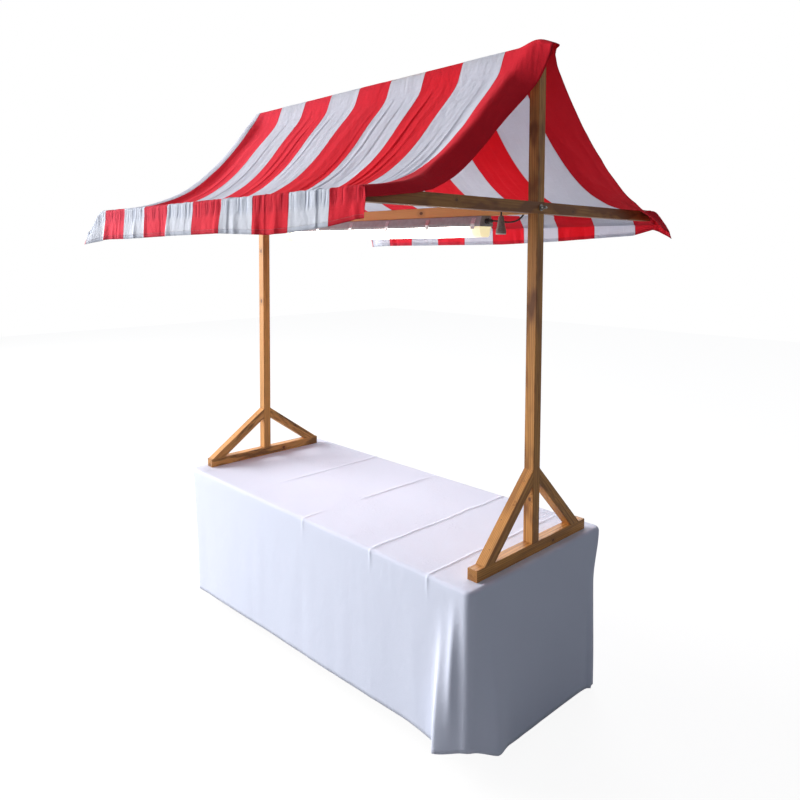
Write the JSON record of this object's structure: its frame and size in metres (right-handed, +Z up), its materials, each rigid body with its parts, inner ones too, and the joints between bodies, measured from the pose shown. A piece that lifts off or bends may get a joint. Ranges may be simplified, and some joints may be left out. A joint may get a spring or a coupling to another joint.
{
  "type": "market stall",
  "caption": "Market stall: striped cloth canopy on a demountable timber frame with a tube light, standing on a folding table under a long cloth.",
  "frame": {"origin": "on the floor under the middle of the folding table", "axes": "+X along the table towards its right end, +Y towards the back, +Z up"},
  "size_m": [2.125, 1.9346, 2.8003],
  "materials": {
    "table_board": "moulded table board, fine grain",
    "leg_steel": "grey powder coat",
    "cap_rubber": "matte black",
    "table_cloth": "pale woven cloth with pressed creases",
    "stained_pine": "planed pine, honey-brown stain, scorched in places",
    "zinc_steel": "zinc plated",
    "striped_canvas": "red and white striped cotton, sewn hems",
    "grey_plastic": "moulded light grey",
    "opal_diffuser": "opal, lit",
    "spring_steel": "bright spring steel",
    "black_plastic": "matte black",
    "lead_rubber": "black rubber",
    "grey_rubber": "grey rubber"
  },
  "bodies": {
    "root": {"table_top": "table_board", "left_leg_frame": "leg_steel", "right_leg_frame": "leg_steel", "left_leg_stay": "leg_steel", "right_leg_stay": "leg_steel", "left_leg_caps": "cap_rubber", "right_leg_caps": "cap_rubber", "cloth_top": "table_cloth", "cloth_front_drop": "table_cloth", "cloth_back_drop": "table_cloth", "cloth_left_drop": "table_cloth", "cloth_right_drop": "table_cloth", "left_foot_rail": "stained_pine", "right_foot_rail": "stained_pine", "left_front_brace": "stained_pine", "left_back_brace": "stained_pine", "right_front_brace": "stained_pine", "right_back_brace": "stained_pine", "left_post": "stained_pine", "right_post": "stained_pine", "left_cross_arm": "stained_pine", "right_cross_arm": "stained_pine", "tie_beam": "stained_pine", "ridge_beam": "stained_pine", "front_eave_pole": "stained_pine", "back_eave_pole": "stained_pine", "left_clamp_bolt": "zinc_steel", "right_clamp_bolt": "zinc_steel", "left_wing_nut": "zinc_steel", "right_wing_nut": "zinc_steel", "canopy_front_slope": "striped_canvas", "canopy_back_slope": "striped_canvas", "canopy_front_valance": "striped_canvas", "canopy_back_valance": "striped_canvas", "canopy_left_front_skirt": "striped_canvas", "canopy_left_back_skirt": "striped_canvas", "canopy_right_front_skirt": "striped_canvas", "canopy_right_back_skirt": "striped_canvas", "light_housing": "grey_plastic", "light_diffuser": "opal_diffuser", "light_clips": "spring_steel", "light_gland": "black_plastic", "lamp_lead": "lead_rubber", "lead_connector": "grey_rubber"}
  },
  "joints": []
}
